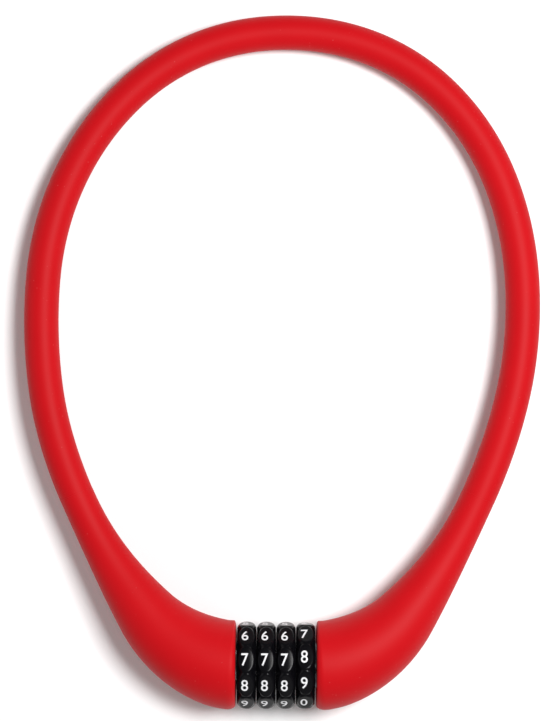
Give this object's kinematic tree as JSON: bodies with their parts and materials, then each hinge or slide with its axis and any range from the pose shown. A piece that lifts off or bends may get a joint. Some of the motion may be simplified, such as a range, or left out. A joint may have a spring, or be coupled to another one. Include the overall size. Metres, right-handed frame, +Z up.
{
  "type": "combination cable lock",
  "caption": "Combination cable lock: a thick silicone-covered cable loop whose flared ends meet at a row of glossy number dials with a pull-out locking pin.",
  "frame": {"origin": "on the floor under the middle of the dial stack", "axes": "+X along the dial axis from the barrel's end to the locking pin's end, +Y from the dials towards the far end of the loop, +Z up"},
  "size_m": [0.2243, 0.3014, 0.0384],
  "materials": {
    "silicone": "matte moulded silicone",
    "dial_gloss": "glossy moulded plastic with printed numbers",
    "code_ring_brass": "turned brass",
    "washer_steel": "stamped and phosphated",
    "housing_nylon": "glass-filled nylon, moulded",
    "barrel_steel": "turned",
    "pin_steel": "plated",
    "spring_steel": "spring steel",
    "reset_brass": "turned brass",
    "ferrule_steel": "crimped",
    "fastener_steel": "blackened",
    "wire_rope": "stranded wire rope"
  },
  "bodies": {
    "lock_body": {"horn_cover_left": "silicone", "housing_left": "housing_nylon", "barrel": "barrel_steel", "barrel_cross_pin": "fastener_steel", "cable_ferrule_left": "ferrule_steel", "ferrule_set_screw_left": "fastener_steel", "spacer_washer_1": "washer_steel", "spacer_washer_2": "washer_steel", "spacer_washer_3": "washer_steel", "spacer_washer_4": "washer_steel", "click_spring": "spring_steel", "stack_spring": "spring_steel", "retaining_ring": "spring_steel", "end_clip": "spring_steel", "cable_sleeve": "silicone", "cable_core": "wire_rope"},
    "dial_1_set": {"dial_1": "dial_gloss", "code_ring_1": "code_ring_brass"},
    "dial_2_set": {"dial_2": "dial_gloss", "code_ring_2": "code_ring_brass"},
    "dial_3_set": {"dial_3": "dial_gloss", "code_ring_3": "code_ring_brass"},
    "dial_4_set": {"dial_4": "dial_gloss", "code_ring_4": "code_ring_brass"},
    "reset_sleeve": {"reset_sleeve": "reset_brass"},
    "pin_end": {"locking_pin": "pin_steel", "housing_right": "housing_nylon", "horn_cover_right": "silicone", "locking_pin_cross_pin": "fastener_steel", "cable_ferrule_right": "ferrule_steel", "ferrule_set_screw_right": "fastener_steel"}
  },
  "joints": [
    {"name": "dial_1_turn", "type": "hinge", "parent": "lock_body", "child": "dial_1_set", "pos_m": [0, 0, 0.01925], "axis": [1, 0, 0], "continuous": true, "deforming": ["click_spring"]},
    {"name": "dial_2_turn", "type": "hinge", "parent": "lock_body", "child": "dial_2_set", "pos_m": [0, 0, 0.01925], "axis": [1, 0, 0], "continuous": true, "deforming": ["click_spring"]},
    {"name": "dial_3_turn", "type": "hinge", "parent": "lock_body", "child": "dial_3_set", "pos_m": [0, 0, 0.01925], "axis": [1, 0, 0], "continuous": true, "deforming": ["click_spring"]},
    {"name": "dial_4_turn", "type": "hinge", "parent": "lock_body", "child": "dial_4_set", "pos_m": [0, 0, 0.01925], "axis": [1, 0, 0], "continuous": true, "deforming": ["click_spring"]},
    {"name": "pin_pull", "type": "slide", "parent": "lock_body", "child": "pin_end", "axis": [1, 0, 0], "range_m": [0, 0.046], "deforming": ["cable_sleeve", "cable_core"]},
    {"name": "reset_turn", "type": "hinge", "parent": "lock_body", "child": "reset_sleeve", "pos_m": [0, 0, 0.01925], "axis": [1, 0, 0], "range_deg": [0, 90]}
  ]
}
